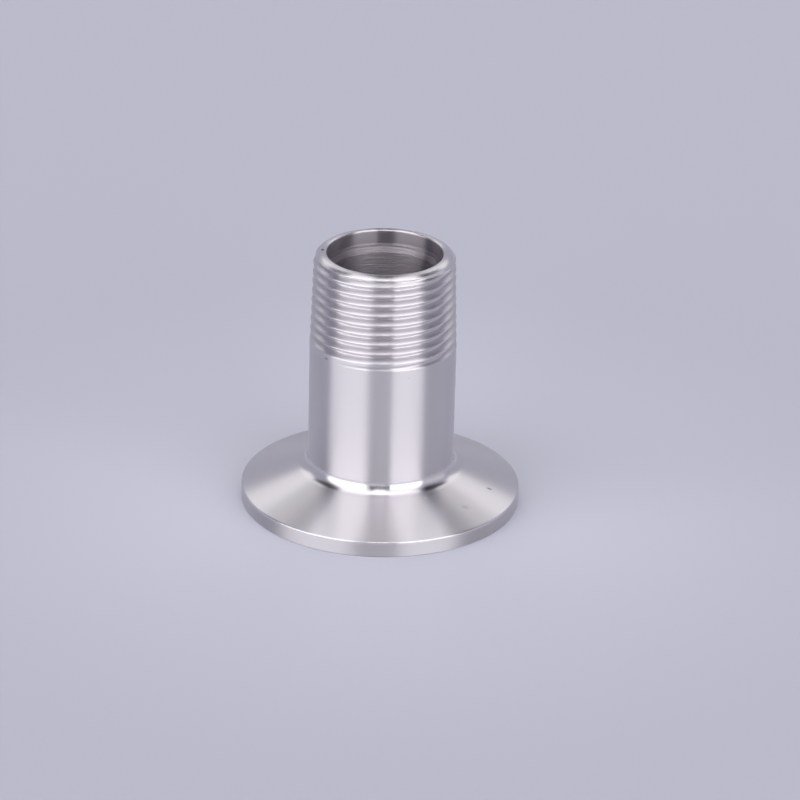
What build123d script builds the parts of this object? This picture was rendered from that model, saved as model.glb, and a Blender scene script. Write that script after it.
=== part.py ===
from build123d import *
import math
import os

# Sanitary clamp threaded adapter: a clamp ferrule and a male taper pipe thread, turned from
# one bar. The origin is the centre of the flange's underside, +Z runs up the axis to the thread.

# Clamp flange
flange_diameter = 50.5
rim_thickness = 2.85
back_cone_angle = 20.0  # of the flange's back, up from the horizontal
rim_edge_break = 0.25

# Gasket groove in the underside, with sloping sides
gasket_groove_inset = 3.45  # from the flange's edge to the middle of the groove
gasket_groove_width = 3.3
gasket_groove_depth = 1.6
gasket_groove_side_angle = 25.0  # of each side, from the axis

# Tube that rises from the flange, bored right through
tube_diameter = 26.4
tube_wall = 3.4
neck_radius = 2.3  # fillet where the flange's back runs into the tube
overall_height = 48.0
foot_edge_break = 0.4  # where the bore meets the flange's underside

# Wider mouth at the threaded end, with a conical step down to the bore
mouth_step_width = 0.55  # by which the mouth is wider than the bore, on the radius
mouth_depth = 3.2
mouth_step_angle = 30.0  # of the step's wall, from the axis

# Flat ring round the mouth, and the chamfer that leads into the thread
end_land_width = 1.3
end_chamfer_angle = 45.0  # from the axis

# Male taper pipe thread, Whitworth form, right hand. Its crests are flat and its roots sharp.
inch = 25.4
threads_per_inch = 14
flank_angle = 55.0  # between the two flanks of a groove
thread_taper = 1 / 16  # on the diameter
thread_length = 17.3

# Where the threading tool leaves the work at the thread's lower end
runout_angle = -148.0  # direction from the axis in which the groove dies out
runout_turns = 0.4  # share of a turn over which the tool draws out
tool_clearance = 0.2  # by which the tool's back stands outside the crests
turns_per_span = 0.25  # the groove's surfaces are made in spans of this length
points_per_turn = 16

flange_radius = flange_diameter / 2
tube_radius = tube_diameter / 2
bore_radius = tube_radius - tube_wall
mouth_radius = bore_radius + mouth_step_width
land_radius = mouth_radius + end_land_width
gasket_groove_radius = flange_radius - gasket_groove_inset
thread_bottom = overall_height - thread_length

pitch = inch / threads_per_inch
crest_slope = thread_taper / 2  # radius that the crests lose per unit of height
flank_slope = math.tan(math.radians(flank_angle / 2))  # half width gained per unit of depth
sharp_height = pitch / 2 / flank_slope
crest_cut = sharp_height / 6  # the form loses a sixth of its height at the crests
thread_depth = sharp_height - crest_cut


def turned_outline():
    """Half section of the blank before threading, on the XZ plane, from the axis outwards."""
    cone_top = rim_thickness + (flange_radius - tube_radius) * math.tan(math.radians(back_cone_angle))
    chamfer_slope = math.tan(math.radians(end_chamfer_angle))
    end_crest_radius = tube_radius - thread_length * crest_slope
    chamfer_drop = (end_crest_radius - land_radius) / (chamfer_slope - crest_slope)
    step_drop = mouth_step_width / math.tan(math.radians(mouth_step_angle))
    side_run = gasket_groove_depth * math.tan(math.radians(gasket_groove_side_angle))
    with BuildSketch(Plane.XZ) as section:
        with BuildLine():
            Polyline(
                (bore_radius + foot_edge_break, 0),
                (flange_radius, 0),
                (flange_radius, rim_thickness),
                (tube_radius, cone_top),
                (tube_radius, thread_bottom),
                (land_radius + chamfer_drop * chamfer_slope, overall_height - chamfer_drop),
                (land_radius, overall_height),
                (mouth_radius, overall_height),
                (mouth_radius, overall_height - mouth_depth),
                (bore_radius, overall_height - mouth_depth - step_drop),
                (bore_radius, foot_edge_break),
                close=True,
            )
        make_face()
        neck_corner = section.vertices().sort_by_distance((tube_radius, cone_top))[0]
        fillet(neck_corner, neck_radius)
        chamfer(section.vertices().group_by(Axis.X)[-1], rim_edge_break)
        with BuildLine():
            Polyline(
                (gasket_groove_radius - gasket_groove_width / 2, 0),
                (gasket_groove_radius - gasket_groove_width / 2 + side_run, gasket_groove_depth),
                (gasket_groove_radius + gasket_groove_width / 2 - side_run, gasket_groove_depth),
                (gasket_groove_radius + gasket_groove_width / 2, 0),
                close=True,
            )
        make_face(mode=Mode.SUBTRACT)
    return section.sketch


def tool_section(turn):
    """The vee tool's three corners after `turn` turns from its run-out, the cutting point first."""
    height = thread_bottom + pitch * turn
    crest = tube_radius - pitch * turn * crest_slope
    tool_depth = thread_depth + tool_clearance
    drawn_out = max(0, 1 - turn / runout_turns) * tool_depth
    point = crest - thread_depth + drawn_out
    direction = math.radians(runout_angle + 360 * turn)
    corners = []
    for beyond_point, side in ((0, 0), (tool_depth, 1), (tool_depth, -1)):
        radius = point + beyond_point
        x = radius * math.cos(direction)
        y = radius * math.sin(direction)
        corners.append((x, y, height + side * beyond_point * flank_slope))
    return corners


def groove_walls(first_turn, last_turn):
    """The thread groove's two flanks and its back between two places on the helix."""
    steps = math.ceil((last_turn - first_turn) * points_per_turn)
    turns = [first_turn + (last_turn - first_turn) * i / steps for i in range(steps + 1)]
    sections = [tool_section(turn) for turn in turns]
    edges = [Edge.make_spline(list(line), parameters=turns) for line in zip(*sections)]
    return [Face.make_surface_from_curves(edges[i - 1], edges[i]) for i in range(len(edges))]


def thread_groove():
    """The helical groove as one solid, from its run-out to just past the end of the tube."""
    faces = groove_walls(0, runout_turns)
    turn = runout_turns
    while turn * pitch < thread_length + pitch / 2:
        faces += groove_walls(turn, turn + turns_per_span)
        turn += turns_per_span
    for end in (0, turn):
        faces.append(Face(Wire.make_polygon(tool_section(end), close=True)))
    return Solid(Shell(faces))


blank = revolve(turned_outline(), axis=Axis.Z)
threaded_ferrule = blank - thread_groove()
threaded_ferrule.label = "threaded_ferrule"

os.makedirs("parts", exist_ok=True)
export_step(threaded_ferrule, "parts/threaded_ferrule.step")
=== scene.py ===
import math

import bpy
from mathutils import Matrix, Vector


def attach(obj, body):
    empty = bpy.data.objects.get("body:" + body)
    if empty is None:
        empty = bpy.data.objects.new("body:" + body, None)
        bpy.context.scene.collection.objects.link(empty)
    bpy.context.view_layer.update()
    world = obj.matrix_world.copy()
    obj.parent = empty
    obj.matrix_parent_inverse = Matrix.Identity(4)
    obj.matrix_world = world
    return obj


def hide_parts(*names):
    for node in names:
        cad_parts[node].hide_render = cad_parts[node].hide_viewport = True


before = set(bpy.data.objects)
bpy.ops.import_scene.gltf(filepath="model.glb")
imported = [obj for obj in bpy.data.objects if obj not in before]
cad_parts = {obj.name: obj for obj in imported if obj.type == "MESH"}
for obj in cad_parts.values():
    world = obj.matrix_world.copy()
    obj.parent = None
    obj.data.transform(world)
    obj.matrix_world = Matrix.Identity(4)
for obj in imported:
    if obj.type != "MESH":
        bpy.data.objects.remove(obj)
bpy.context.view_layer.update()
print("frame loaded")

mm = 0.001  # sizes below are in millimetres, Blender works in metres


def linearColour(hexColour):
    # sRGB hex to the linear values that the shaders take
    colour = []
    for place in (1, 3, 5):
        value = int(hexColour[place:place + 2], 16) / 255
        colour.append(value / 12.92 if value <= 0.04045 else ((value + 0.055) / 1.055) ** 2.4)
    return (*colour, 1)


def addNode(tree, kind, settings, inputs):
    # inputs are numbers, colours, or other nodes' output sockets
    node = tree.nodes.new(kind)
    for name, value in settings.items():
        setattr(node, name, value)
    for name, value in inputs.items():
        if isinstance(value, bpy.types.NodeSocket):
            tree.links.new(value, node.inputs[name])
        else:
            node.inputs[name].default_value = value
    return node


def deselectAll():
    if bpy.context.object and bpy.context.object.mode != "OBJECT":
        bpy.ops.object.mode_set(mode="OBJECT")
    bpy.ops.object.select_all(action="DESELECT")


def selectVertices(piece, wanted):
    bpy.ops.object.mode_set(mode="OBJECT")
    mesh = piece.data
    mesh.polygons.foreach_set("select", [False] * len(mesh.polygons))
    mesh.edges.foreach_set("select", [False] * len(mesh.edges))
    mesh.vertices.foreach_set("select", [wanted(v.co) for v in mesh.vertices])
    bpy.ops.object.mode_set(mode="EDIT")
    bpy.ops.mesh.select_mode(type="VERT")


# The ferrule, as on its turning drawing
ferrule = {
    "flangeRadius": 25.25,
    "rimThickness": 2.85,
    "backAngle": 20.0,
    "rimEdge": 0.3,
    "footEdge": 0.2,
    "tubeRadius": 13.2,
    "neckRadius": 2.3,
    "height": 48.0,
    "gasketMiddle": 21.8,
    "gasketWidth": 3.3,
    "gasketDepth": 1.6,
    "gasketSideAngle": 25.0,
    "gasketFillet": 0.45,
    "boreRadius": 9.8,
    "boreEdge": 0.4,
    "mouthRadius": 10.35,
    "mouthDepth": 3.2,
    "mouthStepAngle": 30.0,
    "landWidth": 1.3,
    "landEdge": 1.6,  # the land is turned round into the chamfer
    "seamShare": 0.38,  # of the land's width, where the two meshes meet
    "mouthEdge": 0.35,
    "stepEdge": 0.3,
    "smallEdge": 0.1,
    "columns": 160,
    "arcStep": 9.0,  # degrees of bend between two rings
    "hold": 0.1,  # a ring this far from each bend keeps the straight part's shading straight
    "smoothAngle": 28,  # degrees, sharper edges than this stay sharp
}

# The thread on it: taper pipe thread, 55 degree Whitworth form, right hand
thread = {
    "pitch": 25.4 / 14,
    "halfAngle": 27.5,
    "taper": 1 / 16,
    "length": 17.3,
    "rootRounding": 0.16,  # of the pitch
    "crestBlend": 0.42,  # depth over which a crest's corners are worn round
    "runoutAngle": -148.0,
    "runoutTurns": 0.4,
    "toolClearance": 0.2,
    "rows": 30,  # mesh rows in one pitch
    "turns": 12,
    "footMargin": 1.2,  # plain tube below the thread that is meshed with it
    "leadIn": 1.8,  # by which the groove gets shallower for each mm up the end chamfer
    "chamferBlend": 0.08,  # depth over which the taper runs into the end chamfer
    "woundArcPoints": 3,  # the steeper points of the land's rounding, wound with the thread
}


def cornerArc(before, corner, after, bend):
    # the arc that rounds a corner, from the first side to the second
    toBefore = (before - corner).normalized()
    toAfter = (after - corner).normalized()
    opening = toBefore.angle(toAfter)
    reach = bend / math.tan(opening / 2)
    centre = corner + (toBefore + toAfter).normalized() * bend / math.sin(opening / 2)
    start = corner + toBefore * reach - centre
    end = corner + toAfter * reach - centre
    steps = math.ceil(math.degrees(math.pi - opening) / ferrule["arcStep"])
    return [centre + start.slerp(end, i / steps).normalized() * bend for i in range(steps + 1)]


def roundedOutline(corners):
    # corners are (radius, height, bend); a bend of 0 is an end of the line
    places = [Vector(corner[:2]) for corner in corners]
    points = [places[0]]
    for before, corner, after, (_, _, bend) in zip(places, places[1:], places[2:], corners[1:]):
        arc = cornerArc(before, corner, after, bend)
        points.append(arc[0] + (before - corner).normalized() * ferrule["hold"])
        points += arc
        points.append(arc[-1] + (after - corner).normalized() * ferrule["hold"])
    points.append(places[-1])
    return points


def drawOutline(name, points):
    # a chain of edges in the XZ plane: a plane merged to one point, then extruded along
    deselectAll()
    bpy.ops.mesh.primitive_plane_add(size=mm, location=(points[0].x * mm, 0, points[0].y * mm))
    piece = bpy.context.object
    piece.name = name
    bpy.ops.object.transform_apply(location=True, rotation=True, scale=True)
    bpy.ops.object.mode_set(mode="EDIT")
    bpy.ops.mesh.select_mode(type="VERT")
    bpy.ops.mesh.select_all(action="SELECT")
    bpy.ops.mesh.merge(type="CENTER")
    for here, there in zip(points, points[1:]):
        move = ((there.x - here.x) * mm, 0, (there.y - here.y) * mm)
        bpy.ops.mesh.extrude_vertices_move(TRANSFORM_OT_translate={"value": move})
    bpy.ops.object.mode_set(mode="OBJECT")
    return piece


def turnOnLathe(piece, risePerTurn=0.0, turns=1):
    screw = piece.modifiers.new("lathe", "SCREW")
    screw.axis = "Z"
    screw.angle = math.tau
    screw.steps = ferrule["columns"]
    screw.render_steps = ferrule["columns"]
    screw.screw_offset = risePerTurn * mm
    screw.iterations = turns
    bpy.ops.object.modifier_apply(modifier=screw.name)
    bpy.ops.object.mode_set(mode="EDIT")
    bpy.ops.mesh.select_all(action="SELECT")
    bpy.ops.mesh.remove_doubles(threshold=mm / 1000)
    bpy.ops.object.mode_set(mode="OBJECT")


def softMin(first, second, blend):
    overlap = max(blend - abs(first - second), 0) / blend
    return min(first, second) - overlap * overlap * blend / 4


threadFoot = ferrule["height"] - thread["length"]
crestSlope = thread["taper"] / 2
flankSlope = math.tan(math.radians(thread["halfAngle"]))
sharpHeight = thread["pitch"] / 2 / flankSlope
pointDepth = sharpHeight * 5 / 6  # from the crests to where the flanks would meet
rootRadius = thread["rootRounding"] * thread["pitch"]
rootReach = rootRadius * math.cos(math.radians(thread["halfAngle"]))
rootCentre = rootRadius / math.sin(math.radians(thread["halfAngle"]))
landRadius = ferrule["mouthRadius"] + ferrule["landWidth"]
chamferFoot = ferrule["height"] + landRadius - ferrule["tubeRadius"] + thread["length"] * crestSlope
landReach = ferrule["landEdge"] * math.tan(math.pi / 8)  # of the land's rounding, each way
landSeam = ferrule["mouthRadius"] + ferrule["seamShare"] * ferrule["landWidth"]


def grooveRadius(turn, height):
    away = abs(height - threadFoot - thread["pitch"] * turn)
    drawnOut = max(0, 1 - turn / thread["runoutTurns"]) * (pointDepth + thread["toolClearance"])
    crest = ferrule["tubeRadius"] - thread["pitch"] * turn * crestSlope
    point = crest - pointDepth + drawnOut
    if away < rootReach:
        return point + rootCentre - math.sqrt(rootRadius ** 2 - away ** 2)
    return point + away / flankSlope


def chamferRadius(height):
    fromTop = ferrule["height"] - height
    if fromTop > landReach * math.sqrt(0.5):
        return landRadius + fromTop
    drop = ferrule["landEdge"] - fromTop
    return landRadius - landReach + math.sqrt(ferrule["landEdge"] ** 2 - drop ** 2)


def threadedRadius(angle, height):
    taper = ferrule["tubeRadius"] - max(0, height - threadFoot) * crestSlope
    radius = softMin(taper, chamferRadius(height), thread["chamferBlend"])
    share = (math.degrees(angle) - thread["runoutAngle"]) % 360 / 360
    lead = thread["leadIn"] * max(0, height - chamferFoot)
    nearest = round((height - threadFoot) / thread["pitch"] - share)
    for whole in (nearest - 1, nearest, nearest + 1):
        if whole >= 0:
            radius = softMin(radius, grooveRadius(share + whole, height) + lead, thread["crestBlend"])
    return radius


def cutThread():
    # one pitch of the wall is wound up the tube, then each point goes to the cutter's depth
    endArc = cornerArc(
        Vector((landRadius + 1, ferrule["height"] - 1)),
        Vector((landRadius, ferrule["height"])),
        Vector((landRadius - 1, ferrule["height"])),
        ferrule["landEdge"],
    )[thread["woundArcPoints"]:]
    low = threadFoot - thread["footMargin"]
    high = endArc[0].y
    base = low - thread["pitch"]
    rise = thread["pitch"] / thread["rows"]
    wall = [Vector((ferrule["tubeRadius"], base + rise * i)) for i in range(thread["rows"] + 1)]
    piece = drawOutline("threadedEnd", wall)
    turnOnLathe(piece, thread["pitch"], thread["turns"])
    for vertex in piece.data.vertices:
        angle = math.atan2(vertex.co.y, vertex.co.x)
        height = min(max(vertex.co.z / mm, low), high)
        radius = threadedRadius(angle, height) * mm
        if height == low:
            radius = ferrule["tubeRadius"] * mm
        vertex.co = (radius * math.cos(angle), radius * math.sin(angle), height * mm)
    bpy.ops.object.mode_set(mode="EDIT")
    bpy.ops.mesh.select_all(action="SELECT")
    bpy.ops.mesh.remove_doubles(threshold=mm / 1000)
    bpy.ops.mesh.dissolve_degenerate(threshold=mm / 1000)
    selectVertices(piece, lambda place: place.z > (high - 0.001) * mm)
    endArc.append(endArc[-1] - Vector((ferrule["hold"], 0)))
    endArc.append(Vector((landSeam, ferrule["height"])))
    for here, there in zip(endArc, endArc[1:]):
        move = (0, 0, (there.y - here.y) * mm)
        grow = there.x / here.x
        bpy.ops.mesh.extrude_edges_move(TRANSFORM_OT_translate={"value": move})
        bpy.ops.transform.resize(value=(grow, grow, 1), center_override=(0, 0, 0))
    bpy.ops.object.mode_set(mode="OBJECT")
    for vertex in piece.data.vertices:
        if vertex.select:  # the last ring is made round, to meet the turned outline
            angle = math.atan2(vertex.co.y, vertex.co.x)
            ring = Vector((math.cos(angle), math.sin(angle), 0)) * landSeam * mm
            vertex.co = ring + Vector((0, 0, ferrule["height"] * mm))
    return piece


def turnFerrule():
    f = ferrule
    coneRun = f["flangeRadius"] - f["tubeRadius"]
    coneTop = f["rimThickness"] + coneRun * math.tan(math.radians(f["backAngle"]))
    sideRun = f["gasketDepth"] * math.tan(math.radians(f["gasketSideAngle"]))
    gasketOuter = f["gasketMiddle"] + f["gasketWidth"] / 2
    gasketInner = f["gasketMiddle"] - f["gasketWidth"] / 2
    stepTop = f["height"] - f["mouthDepth"]
    stepDrop = (f["mouthRadius"] - f["boreRadius"]) / math.tan(math.radians(f["mouthStepAngle"]))
    edge = f["smallEdge"]
    outline = roundedOutline([
        (f["tubeRadius"], threadFoot - thread["footMargin"], 0),
        (f["tubeRadius"], coneTop, f["neckRadius"]),
        (f["flangeRadius"], f["rimThickness"], f["rimEdge"]),
        (f["flangeRadius"], 0, f["footEdge"]),
        (gasketOuter, 0, edge),
        (gasketOuter - sideRun, f["gasketDepth"], f["gasketFillet"]),
        (gasketInner + sideRun, f["gasketDepth"], f["gasketFillet"]),
        (gasketInner, 0, edge),
        (f["boreRadius"] + f["boreEdge"], 0, edge),
        (f["boreRadius"], f["boreEdge"], edge),
        (f["boreRadius"], stepTop - stepDrop, f["stepEdge"]),
        (f["mouthRadius"], stepTop, f["stepEdge"]),
        (f["mouthRadius"], f["height"], f["mouthEdge"]),
        (landSeam, f["height"], 0),
    ])
    piece = drawOutline("turnedFerrule", outline)
    turnOnLathe(piece)
    threadedEnd = cutThread()
    deselectAll()
    threadedEnd.select_set(True)
    piece.select_set(True)
    bpy.context.view_layer.objects.active = piece
    bpy.ops.object.join()
    bpy.ops.object.mode_set(mode="EDIT")
    bpy.ops.mesh.select_all(action="SELECT")
    bpy.ops.mesh.remove_doubles(threshold=mm / 1000)  # closes the shell at the foot and on the land
    bpy.ops.mesh.normals_make_consistent(inside=False)
    bpy.ops.object.mode_set(mode="OBJECT")
    bpy.ops.object.shade_smooth_by_angle(angle=math.radians(ferrule["smoothAngle"]))
    return piece


turnedFerrule = turnFerrule()
print("ferrule turned,", len(turnedFerrule.data.polygons), "faces")


# The marks of handling that the photograph shows, and three painted highlights, each at its place in mm
# and as long, wide and high as its size says. shade multiplies the steel's colour in it; above 1 it
# lightens it.
marks = {
    "pitOnLand": {"place": (-11.1, 0.4, 48.0), "size": (0.4, 0.75, 0.5), "depth": 0.05, "shade": 0.2},
    "scratchOnBack": {"place": (19.8, -5.6, 4.5), "size": (0.75, 0.36, 0.45), "depth": 0.02, "shade": 0.6},
    "smudgeOnBack": {"place": (15.4, -13.6, 4.6), "size": (1.0, 0.7, 0.6), "depth": 0.004, "shade": 0.88},
    # painted highlight: a small dent whose colour is made lighter, as a glint
    "paintedGlintSpeck": {"place": (8.2, -13.7, 6.2), "size": (0.3, 0.3, 0.3), "depth": 0.01, "shade": 1.2},
    "burrAtThread": {"place": (-10.0, -8.6, 30.8), "size": (0.7, 0.5, 0.2), "depth": 0.04, "shade": 0.4},
    "dashOnTube": {"place": (4.7, -12.3, 29.0), "size": (0.6, 0.5, 0.15), "depth": 0.002, "shade": 0.9},
    # painted highlights: two small dents whose colour is made lighter, as glints
    "leftPaintedGlint": {"place": (-12.0, -5.5, 25.6), "size": (0.35, 0.35, 0.3), "depth": 0.002, "shade": 1.08},
    "rightPaintedGlint": {"place": (-10.5, -8.0, 27.9), "size": (0.25, 0.25, 0.25), "depth": 0.002, "shade": 1.08},
}

# Stainless steel, grade 304, turned and left as it came off the tool: bright grey with a hint of
# warmth. The feed lines spread its sheen up and down, so it shows upright bands of light and
# shade, soft on the tube and the thread and clearer on the faced back, the neck and the end.
turnedSteel = {
    "colour": "#D9D5DA",
    "zones": [  # roughness above each height, in mm
        {"above": 0.0, "roughness": 0.5},
        {"above": 2.45, "roughness": 0.27},
        {"above": 6.6, "roughness": 0.19},
        {"above": 8.8, "roughness": 0.39},
        {"above": 30.5, "roughness": 0.33},
        {"above": 46.9, "roughness": 0.26},
    ],
    "zoneSoftness": 0.15,
    "boreRoughness": 0.36,
    "borePaintedShade": "#A9A2AA",  # painted shade: the steel's colour darkened inside the bore, where shade falls
    "anisotropy": 1.0,
    "lineSpacing": 0.35,  # mm, real feed lines are 0.1 and too fine to show
    "lineDepth": 0.0007,  # mm
    "lineSlant": 1.7,  # height against radius, so that the lines are as close on the tube as on the back
    "lineNoise": {"Detail": 4, "Roughness": 0.6},
    "chatter": {  # torn rings that the boring bar left on the mouth's step and below it
        "top": 45.6,
        "fade": 0.6,
        "across": 0.25,
        "along": 4.0,
        "depth": 0.2,
        "roughness": 0.4,
        "noise": {"Detail": 3, "Roughness": 0.65},
    },
    "markCore": 0.3,  # share of a mark's size inside which it is at its full depth and shade
}


def turnedStainless(look):
    material = bpy.data.materials.new("turnedStainless304")
    material.use_nodes = True
    tree = material.node_tree
    tree.nodes.clear()
    place = addNode(tree, "ShaderNodeTexCoord", {}, {})
    inMm = addNode(tree, "ShaderNodeVectorMath", {"operation": "SCALE"}, {
        0: place.outputs["Object"],
        "Scale": 1 / mm,
    })
    parts = addNode(tree, "ShaderNodeSeparateXYZ", {}, {"Vector": inMm.outputs[0]})
    height = parts.outputs["Z"]
    flat = addNode(tree, "ShaderNodeVectorMath", {"operation": "MULTIPLY"}, {
        0: inMm.outputs[0],
        1: (1, 1, 0),
    })
    radius = addNode(tree, "ShaderNodeVectorMath", {"operation": "LENGTH"}, {0: flat.outputs[0]})
    roughness = look["boreRoughness"]
    for zone in look["zones"]:
        above = addNode(tree, "ShaderNodeMapRange", {"interpolation_type": "SMOOTHSTEP"}, {
            "Value": height,
            "From Min": zone["above"] - look["zoneSoftness"],
            "From Max": zone["above"] + look["zoneSoftness"],
        })
        change = addNode(tree, "ShaderNodeMix", {}, {
            0: above.outputs[0],
            2: roughness,
            3: zone["roughness"],
        })
        roughness = change.outputs[0]
    inBore = addNode(tree, "ShaderNodeMapRange", {"interpolation_type": "SMOOTHSTEP"}, {
        "Value": radius.outputs["Value"],
        "From Min": ferrule["mouthRadius"] + ferrule["smallEdge"],
        "From Max": ferrule["mouthRadius"],
    })
    roughness = addNode(tree, "ShaderNodeMix", {}, {
        0: inBore.outputs[0],
        2: roughness,
        3: look["boreRoughness"],
    })
    # painted shade: inside the bore the steel's colour is darkened
    colour = addNode(tree, "ShaderNodeMix", {"data_type": "RGBA"}, {
        0: inBore.outputs[0],
        6: linearColour(look["colour"]),
        7: linearColour(look["borePaintedShade"]),
    })
    chatter = look["chatter"]
    low = addNode(tree, "ShaderNodeMapRange", {"interpolation_type": "SMOOTHSTEP"}, {
        "Value": height,
        "From Min": chatter["top"],
        "From Max": chatter["top"] - chatter["fade"],
    })
    torn = addNode(tree, "ShaderNodeMath", {"operation": "MULTIPLY"}, {
        0: low.outputs[0],
        1: inBore.outputs[0],
    })
    roughness = addNode(tree, "ShaderNodeMix", {}, {
        0: torn.outputs[0],
        2: roughness.outputs[0],
        3: chatter["roughness"],
    })
    stretched = addNode(tree, "ShaderNodeVectorMath", {"operation": "MULTIPLY"}, {
        0: inMm.outputs[0],
        1: (1 / chatter["along"], 1 / chatter["along"], 1 / chatter["across"]),
    })
    rings = addNode(tree, "ShaderNodeTexNoise", {}, {
        "Vector": stretched.outputs[0],
        "Scale": 1,
        **chatter["noise"],
    })
    ringHeight = addNode(tree, "ShaderNodeMath", {"operation": "MULTIPLY"}, {
        0: rings.outputs["Fac"],
        1: torn.outputs[0],
    })
    ringBump = addNode(tree, "ShaderNodeBump", {}, {
        "Height": ringHeight.outputs[0],
        "Distance": chatter["depth"] * mm,
        "Strength": 1,
    })
    steep = addNode(tree, "ShaderNodeMath", {"operation": "MULTIPLY"}, {0: height, 1: look["lineSlant"]})
    along = addNode(tree, "ShaderNodeMath", {"operation": "SUBTRACT"}, {
        0: steep.outputs[0],
        1: radius.outputs["Value"],
    })
    lines = addNode(tree, "ShaderNodeTexNoise", {"noise_dimensions": "1D"}, {
        "W": along.outputs[0],
        "Scale": 1 / look["lineSpacing"],
        **look["lineNoise"],
    })
    bump = addNode(tree, "ShaderNodeBump", {}, {
        "Height": lines.outputs["Fac"],
        "Distance": look["lineDepth"] * mm,
        "Strength": 1,
        "Normal": ringBump.outputs[0],
    })
    normal = bump.outputs[0]
    colour = colour.outputs[2]
    for mark in marks.values():
        away = addNode(tree, "ShaderNodeVectorMath", {"operation": "SUBTRACT"}, {
            0: inMm.outputs[0],
            1: mark["place"],
        })
        scaled = addNode(tree, "ShaderNodeVectorMath", {"operation": "DIVIDE"}, {
            0: away.outputs[0],
            1: mark["size"],
        })
        distance = addNode(tree, "ShaderNodeVectorMath", {"operation": "LENGTH"}, {0: scaled.outputs[0]})
        inside = addNode(tree, "ShaderNodeMapRange", {"interpolation_type": "SMOOTHSTEP"}, {
            "Value": distance.outputs["Value"],
            "From Min": 1.0,
            "From Max": look["markCore"],
        })
        # the mark's colour: real marks darken it, and a shade above 1 paints a highlight
        markTint = addNode(tree, "ShaderNodeMix", {"data_type": "RGBA", "blend_type": "MULTIPLY"}, {
            0: inside.outputs[0],
            6: colour,
            7: (mark["shade"], mark["shade"], mark["shade"], 1),
        })
        colour = markTint.outputs[2]
        dent = addNode(tree, "ShaderNodeBump", {"invert": True}, {
            "Height": inside.outputs[0],
            "Distance": mark["depth"] * mm,
            "Strength": 1,
            "Normal": normal,
        })
        normal = dent.outputs[0]
    tangent = addNode(tree, "ShaderNodeTangent", {"direction_type": "RADIAL", "axis": "Z"}, {})
    shader = addNode(tree, "ShaderNodeBsdfPrincipled", {}, {
        "Base Color": colour,
        "Metallic": 1,
        "Roughness": roughness.outputs[0],
        "Anisotropic": look["anisotropy"],
        "Anisotropic Rotation": 0.25,  # the sheen is drawn out across the turning lines
        "Tangent": tangent.outputs[0],
        "Normal": normal,
    })
    addNode(tree, "ShaderNodeOutputMaterial", {}, {"Surface": shader.outputs[0]})
    return material


turnedFerrule.data.materials.clear()
turnedFerrule.data.materials.append(turnedStainless(turnedSteel))
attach(turnedFerrule, "root")
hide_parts("threaded_ferrule")
print("steel on")

# Pale floor that the part stands on, with painted light: paler round the part, darker further out
table = {
    "size": 4000,
    "paintedLightColour": "#C2C2D0",
    "paintedFalloffColour": "#B5B5C4",
    "near": 20,  # painted light falloff: the floor's colour darkens from here
    "far": 110,
    "roughness": 0.7,
    "specular": 0.2,
    "drop": 0.01,  # below the underside, so that the two faces don't lie in one plane
}


def layFloor(look):
    deselectAll()
    bpy.ops.mesh.primitive_plane_add(size=look["size"] * mm, location=(0, 0, -look["drop"] * mm))
    piece = bpy.context.object
    piece.name = "floor"
    bpy.ops.object.transform_apply(location=True, rotation=True, scale=True)
    material = bpy.data.materials.new("palePaper")
    material.use_nodes = True
    tree = material.node_tree
    tree.nodes.clear()
    place = addNode(tree, "ShaderNodeTexCoord", {}, {})
    distance = addNode(tree, "ShaderNodeVectorMath", {"operation": "DISTANCE"}, {
        0: place.outputs["Object"],
        1: (0, 0, 0),
    })
    share = addNode(tree, "ShaderNodeMapRange", {"interpolation_type": "SMOOTHSTEP"}, {
        "Value": distance.outputs["Value"],
        "From Min": look["near"] * mm,
        "From Max": look["far"] * mm,
    })
    # painted light: the floor's colour is paler near the part and darker further out
    colour = addNode(tree, "ShaderNodeMix", {"data_type": "RGBA"}, {
        0: share.outputs[0],
        6: linearColour(look["paintedLightColour"]),
        7: linearColour(look["paintedFalloffColour"]),
    })
    shader = addNode(tree, "ShaderNodeBsdfPrincipled", {}, {
        "Base Color": colour.outputs[2],
        "Roughness": look["roughness"],
        "Specular IOR Level": look["specular"],
    })
    addNode(tree, "ShaderNodeOutputMaterial", {}, {"Surface": shader.outputs[0]})
    piece.data.materials.append(material)


layFloor(table)
print("floor laid")

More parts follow.
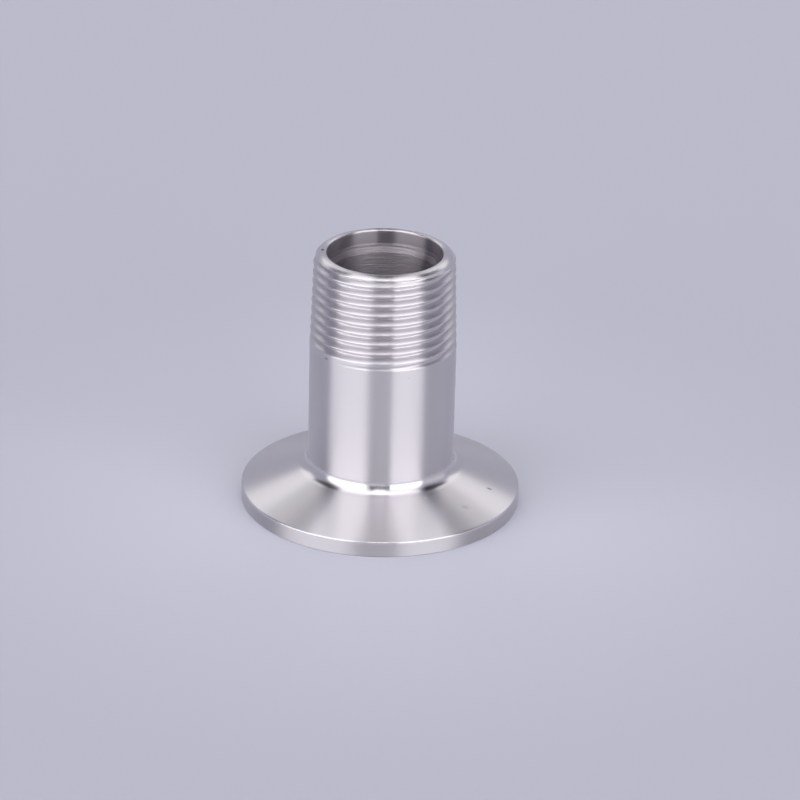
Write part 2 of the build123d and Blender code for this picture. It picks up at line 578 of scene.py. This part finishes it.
# White tent round the part, seen in the metal. Each panel reaches from one angle to another, in
# degrees, over a fade at its edges. side is counted from the camera's side towards +X, and away
# from there either way, height from the horizon, across from upright towards +X and back from
# upright towards +Y. A light of 1 is white. A later panel covers an earlier one.
tent = {
    "cloth": 0.53,  # between the panels
    "clothColour": "#EFF0FF",
    "panelColour": "#FFFFFF",
    "panels": {
        "rightFill": {"light": 0.8, "reach": {"side": (60, 112, 6), "height": (-20, 24, 4)}},
        "backWall": {"light": 1.15, "reach": {"away": (128, 190, 3), "height": (26.5, 40, 2)}},
        "backWallTop": {"light": 1.35, "reach": {"away": (128, 190, 3), "height": (40, 49.5, 2)}},
        "darkCorners": {"light": 0.0, "reach": {"away": (84, 143, 2), "height": (40, 60, 3)}},
        "roof": {"light": 1.25, "reach": {"height": (62, 100, 2)}},
        "frontRoof": {"light": 1.7, "reach": {"height": (54, 100, 2), "back": (-90, 0, 10)}},
        "leftBox": {"light": 2.7, "reach": {"side": (-84, -21, 7), "height": (-20, 35, 18)}},
        "leftBoxTop": {"light": 1.65, "reach": {"side": (-84, -21, 7), "height": (35, 55, 10)}},
        "rightBox": {"light": 2.65, "reach": {"side": (14, 66, 4), "height": (-20, 40, 18)}},
        "underCamera": {"light": 2.55, "reach": {"side": (-16, 16, 3), "height": (-30, 4, 2)}},
        "cameraGap": {"light": 0.16, "reach": {"side": (-15, 16, 2), "height": (4, 41, 2)}},
        "frontStrip": {"light": 2.1, "reach": {"across": (-9, 9, 1), "back": (-49, -3, 2)}},
        "backStrip": {"light": 0.03, "reach": {"across": (-6.5, 6.5, 0.5), "back": (-3, 62, 1)}},
    },
    "backdrop": "#C2C2D0",  # what the camera alone sees past the floor, and the metal doesn't
}


def lightTent(look):
    world = bpy.data.worlds.new("lightTent")
    bpy.context.scene.world = world
    world.use_nodes = True
    tree = world.node_tree
    tree.nodes.clear()
    place = addNode(tree, "ShaderNodeTexCoord", {}, {})
    parts = addNode(tree, "ShaderNodeSeparateXYZ", {}, {"Vector": place.outputs["Generated"]})
    east, north, up = parts.outputs["X"], parts.outputs["Y"], parts.outputs["Z"]
    south = addNode(tree, "ShaderNodeMath", {"operation": "MULTIPLY"}, {0: north, 1: -1.0}).outputs[0]
    side = addNode(tree, "ShaderNodeMath", {"operation": "ARCTAN2"}, {0: east, 1: south})
    angles = {
        "side": side,
        "away": addNode(tree, "ShaderNodeMath", {"operation": "ABSOLUTE"}, {0: side.outputs[0]}),
        "height": addNode(tree, "ShaderNodeMath", {"operation": "ARCSINE"}, {0: up}),
        "across": addNode(tree, "ShaderNodeMath", {"operation": "ARCTAN2"}, {0: east, 1: up}),
        "back": addNode(tree, "ShaderNodeMath", {"operation": "ARCTAN2"}, {0: north, 1: up}),
    }
    light = look["cloth"]
    for panel in look["panels"].values():
        share = 1.0
        for angle, (start, end, fade) in panel["reach"].items():
            for edge, rise in ((start, fade), (end, -fade)):
                inside = addNode(tree, "ShaderNodeMapRange", {"interpolation_type": "SMOOTHSTEP"}, {
                    "Value": angles[angle].outputs[0],
                    "From Min": math.radians(edge - rise),
                    "From Max": math.radians(edge + rise),
                })
                both = addNode(tree, "ShaderNodeMath", {"operation": "MULTIPLY"}, {
                    0: share,
                    1: inside.outputs[0],
                })
                share = both.outputs[0]
        cover = addNode(tree, "ShaderNodeMix", {}, {0: share, 2: light, 3: panel["light"]})
        light = cover.outputs[0]
    lit = addNode(tree, "ShaderNodeMapRange", {}, {"Value": light, "From Min": look["cloth"]})
    tint = addNode(tree, "ShaderNodeMix", {"data_type": "RGBA"}, {
        0: lit.outputs[0],
        6: linearColour(look["clothColour"]),
        7: linearColour(look["panelColour"]),
    })
    panels = addNode(tree, "ShaderNodeBackground", {}, {"Color": tint.outputs[2], "Strength": light})
    backdrop = addNode(tree, "ShaderNodeBackground", {}, {"Color": linearColour(look["backdrop"])})
    ray = addNode(tree, "ShaderNodeLightPath", {}, {})
    choice = addNode(tree, "ShaderNodeMixShader", {}, {
        0: ray.outputs["Is Camera Ray"],
        1: panels.outputs[0],
        2: backdrop.outputs[0],
    })
    addNode(tree, "ShaderNodeOutputWorld", {}, {"Surface": choice.outputs[0]})


lightTent(tent)
print("tent lit")

# Camera of the photograph: a long lens from above the front. Place and clip are in mm, turns in degrees.
view = {
    "place": (3.284, -666.43, 323.59),
    "tilt": 24.552,  # looks down by this angle
    "roll": 1.353,
    "lens": 182.57,
    "sensor": 36,
    "clipStart": 10,
}


def placeCamera(look):
    deselectAll()
    bpy.ops.object.camera_add()
    camera = bpy.context.object
    down = math.radians(look["tilt"])
    roll = math.radians(look["roll"])
    right = Vector((math.cos(roll), math.sin(roll) * math.sin(down), math.sin(roll) * math.cos(down)))
    back = Vector((0, -math.cos(down), math.sin(down)))
    upwards = back.cross(right)
    turn = Matrix((right, upwards, back)).transposed()
    camera.matrix_world = Matrix.Translation(Vector(look["place"]) * mm) @ turn.to_4x4()
    camera.data.sensor_width = look["sensor"]
    camera.data.lens = look["lens"]
    camera.data.clip_start = look["clipStart"] * mm
    bpy.context.scene.camera = camera


placeCamera(view)
bpy.context.scene.view_settings.view_transform = "Standard"

print("camera placed")
